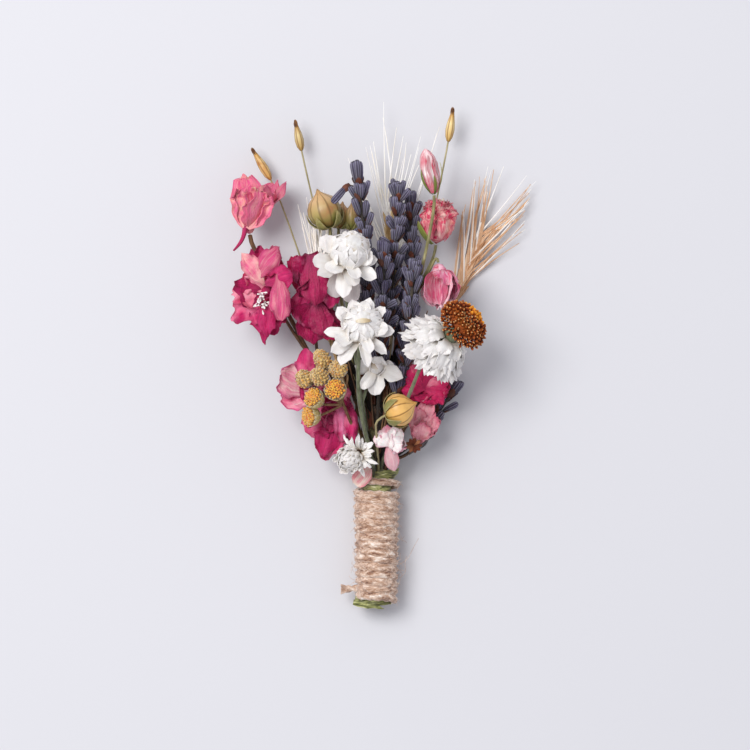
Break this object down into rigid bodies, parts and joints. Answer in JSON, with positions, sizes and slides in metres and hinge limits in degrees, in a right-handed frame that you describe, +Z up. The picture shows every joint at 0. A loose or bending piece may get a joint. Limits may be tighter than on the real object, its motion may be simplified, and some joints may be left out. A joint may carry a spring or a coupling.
{
  "type": "dried flower bouquet",
  "caption": "Small dried bouquet laid flat: larkspur, everlastings, paper daisy, lavender, bearded wheat, flax bolls and yellow buttons, stems bound in florist tape and jute twine.",
  "frame": {"origin": "middle of the bouquet's box at its lowest point, on the surface that it lies on", "axes": "+Y along the bouquet from the cut stems to the flowers, +X to the right seen from above, +Z up from the surface"},
  "size_m": [0.0866, 0.1416, 0.0377],
  "materials": {
    "jute": "two-ply jute, tan, matt, with loose fibres",
    "florist_tape": "waxed crepe paper, olive green, fine wrinkles",
    "larkspur_petal": "dried petal, magenta pink with darker edges, thin and wrinkled",
    "pale_petal": "dried petal, pale pink with cream veins",
    "papery_bract": "dry papery bract, white, slightly glossy",
    "disc_floret": "dry tubular florets, red-brown with cream tips",
    "lavender_calyx": "ribbed downy calyx, grey-blue",
    "straw": "ripe straw, pale cream to reddish tan, satin",
    "flax_boll": "dry ribbed seed boll, tan gold with olive stripes",
    "seed_capsule": "dry seed capsule, gold tan with brown tips",
    "yellow_floret": "packed dry florets, yellow to orange",
    "woolly_cup": "downy cup, tan yellow",
    "dry_stem": "dry brown stem, matt",
    "green_stem": "dry grey-green stem, downy"
  },
  "bodies": {
    "root": {"button_1": "woolly_cup", "button_2": "yellow_floret", "button_3": "woolly_cup", "button_4": "woolly_cup", "button_5": "woolly_cup", "button_6": "yellow_floret", "button_7": "yellow_floret", "button_stem": "dry_stem", "capsule_left": "seed_capsule", "capsule_middle": "seed_capsule", "capsule_right": "seed_capsule", "daisy_bracts": "papery_bract", "daisy_disc": "disc_floret", "daisy_stem": "green_stem", "everlasting_back": "papery_bract", "everlasting_middle": "papery_bract", "everlasting_small": "papery_bract", "everlasting_stem_back": "green_stem", "everlasting_stem_front": "green_stem", "everlasting_stem_small": "green_stem", "everlasting_upper": "papery_bract", "flax_front": "flax_boll", "flax_spray": "flax_boll", "florist_tape": "florist_tape", "jute_twine": "jute", "larkspur_bloom_front": "pale_petal", "larkspur_bloom_left": "larkspur_petal", "larkspur_bloom_low": "larkspur_petal", "larkspur_bloom_low_left": "pale_petal", "larkspur_bloom_low_right": "pale_petal", "larkspur_bloom_middle_left": "larkspur_petal", "larkspur_bloom_right": "larkspur_petal", "larkspur_bloom_top_left": "larkspur_petal", "larkspur_petal_loose": "pale_petal", "larkspur_stem_front": "dry_stem", "larkspur_stem_left": "dry_stem", "larkspur_stem_low": "dry_stem", "larkspur_stem_right": "dry_stem", "lavender_1": "lavender_calyx", "lavender_2": "lavender_calyx", "lavender_3": "lavender_calyx", "lavender_4": "lavender_calyx", "lavender_5": "lavender_calyx", "lavender_6": "lavender_calyx", "rose_ball": "pale_petal", "rose_bloom": "pale_petal", "rose_bud": "pale_petal", "rose_stem": "green_stem", "wheat_left": "straw", "wheat_middle": "straw", "wheat_right": "straw"}
  },
  "joints": []
}
